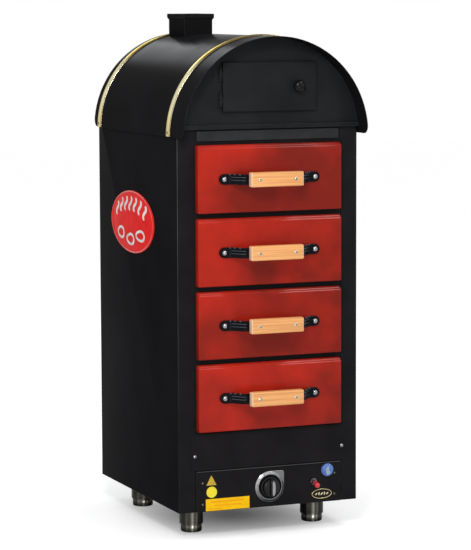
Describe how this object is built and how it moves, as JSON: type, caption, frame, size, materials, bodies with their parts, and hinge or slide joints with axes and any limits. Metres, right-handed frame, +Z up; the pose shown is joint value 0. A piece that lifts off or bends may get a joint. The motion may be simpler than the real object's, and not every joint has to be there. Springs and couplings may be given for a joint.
{
  "type": "baked potato oven",
  "caption": "Tall sheet-steel baked potato oven: barrel roof with chimney and gable door, a stack of red drawers with wooden handles, control panel and levelling feet.",
  "frame": {"origin": "centre of the footprint on the floor, under the four feet", "axes": "+X to the right as seen from the front, -Y towards the drawers' side, +Z up"},
  "size_m": [0.4714, 0.6234, 1.208],
  "materials": {
    "black_coat": "fine-textured black powder coat",
    "red_enamel": "gloss red enamel",
    "oval_enamel": "gloss red enamel, domed",
    "brass": "polished brass",
    "beech": "varnished light beech",
    "cast_black": "black enamelled casting",
    "bright_steel": "bright plated steel",
    "brushed_steel": "brushed stainless steel",
    "galvanised": "galvanised sheet",
    "mineral_wool": "mineral wool",
    "black_plastic": "black moulded plastic",
    "ceramic": "white glazed ceramic",
    "red_plastic": "red plastic sleeve",
    "blue_lens": "clear blue lens"
  },
  "bodies": {
    "case": {"base_pan": "black_coat", "bottom_deck": "galvanised", "cable_gland": "black_plastic", "chimney": "black_coat", "control_panel": "black_coat", "drawer_runners_left": "galvanised", "drawer_runners_right": "galvanised", "fascia_panel": "black_coat", "front_frame": "black_coat", "gable_front": "black_coat", "gable_hinge_lower": "black_coat", "gable_hinge_pin_lower": "bright_steel", "gable_hinge_pin_upper": "bright_steel", "gable_hinge_upper": "black_coat", "gable_rear": "black_coat", "heating_element": "brushed_steel", "insulation_blanket": "mineral_wool", "lower_panel": "black_coat", "lower_panel_screw_left": "bright_steel", "lower_panel_screw_right": "bright_steel", "oval_badge": "brass", "oven_liner": "galvanised", "pilot_lamp_body": "black_plastic", "pilot_lamp_lens": "blue_lens", "rear_panel": "black_coat", "roof_sheet": "black_coat", "roof_trim_strip_front": "brass", "roof_trim_strip_rear": "brass", "side_panel_left": "black_coat", "side_panel_right": "black_coat", "side_plate": "oval_enamel", "terminal_block": "ceramic", "thermostat_bezel": "bright_steel", "thermostat_body": "black_plastic", "toggle_switch_body": "bright_steel", "top_compartment": "galvanised"},
    "drawer_1": {"drawer_1_front": "red_enamel", "drawer_1_tray": "galvanised", "drawer_1_handle_bracket": "cast_black", "drawer_1_handle_grip": "beech"},
    "drawer_2": {"drawer_2_front": "red_enamel", "drawer_2_tray": "galvanised", "drawer_2_handle_bracket": "cast_black", "drawer_2_handle_grip": "beech"},
    "drawer_3": {"drawer_3_front": "red_enamel", "drawer_3_tray": "galvanised", "drawer_3_handle_bracket": "cast_black", "drawer_3_handle_grip": "beech"},
    "drawer_4": {"drawer_4_front": "red_enamel", "drawer_4_tray": "galvanised", "drawer_4_handle_bracket": "cast_black", "drawer_4_handle_grip": "beech"},
    "foot_1": {"levelling_foot_1": "brushed_steel"},
    "foot_2": {"levelling_foot_2": "brushed_steel"},
    "foot_3": {"levelling_foot_3": "brushed_steel"},
    "foot_4": {"levelling_foot_4": "brushed_steel"},
    "gable_door": {"gable_door": "black_coat", "gable_door_knob": "black_plastic"},
    "thermostat_knob": {"thermostat_knob": "black_plastic"},
    "toggle_lever": {"toggle_lever": "red_plastic"}
  },
  "joints": [
    {"name": "drawer_1_slide", "type": "slide", "parent": "case", "child": "drawer_1", "axis": [0, -1, 0], "range_m": [0, 0.36]},
    {"name": "drawer_2_slide", "type": "slide", "parent": "case", "child": "drawer_2", "axis": [0, -1, 0], "range_m": [0, 0.36]},
    {"name": "drawer_3_slide", "type": "slide", "parent": "case", "child": "drawer_3", "axis": [0, -1, 0], "range_m": [0, 0.36]},
    {"name": "drawer_4_slide", "type": "slide", "parent": "case", "child": "drawer_4", "axis": [0, -1, 0], "range_m": [0, 0.36]},
    {"name": "gable_door_hinge", "type": "hinge", "parent": "case", "child": "gable_door", "pos_m": [-0.12, -0.248, 1.0445], "axis": [0, 0, -1], "range_deg": [0, 105]},
    {"name": "thermostat_turn", "type": "hinge", "parent": "case", "child": "thermostat_knob", "pos_m": [0.001, -0.2438, 0.112], "axis": [0, 1, 0], "range_deg": [0, 270]},
    {"name": "toggle_throw", "type": "hinge", "parent": "case", "child": "toggle_lever", "pos_m": [0.113, -0.2473, 0.116], "axis": [-1, 0, 0], "range_deg": [0, 34]},
    {"name": "foot_1_screw", "type": "hinge", "parent": "case", "child": "foot_1", "pos_m": [-0.155, -0.1393, 0], "axis": [0, 0, 1], "range_deg": [0, 1800]},
    {"name": "foot_2_screw", "type": "hinge", "parent": "case", "child": "foot_2", "pos_m": [0.155, -0.1393, 0], "axis": [0, 0, 1], "range_deg": [0, 1800]},
    {"name": "foot_3_screw", "type": "hinge", "parent": "case", "child": "foot_3", "pos_m": [-0.155, 0.1897, 0], "axis": [0, 0, 1], "range_deg": [0, 1800]},
    {"name": "foot_4_screw", "type": "hinge", "parent": "case", "child": "foot_4", "pos_m": [0.155, 0.1897, 0], "axis": [0, 0, 1], "range_deg": [0, 1800]}
  ]
}
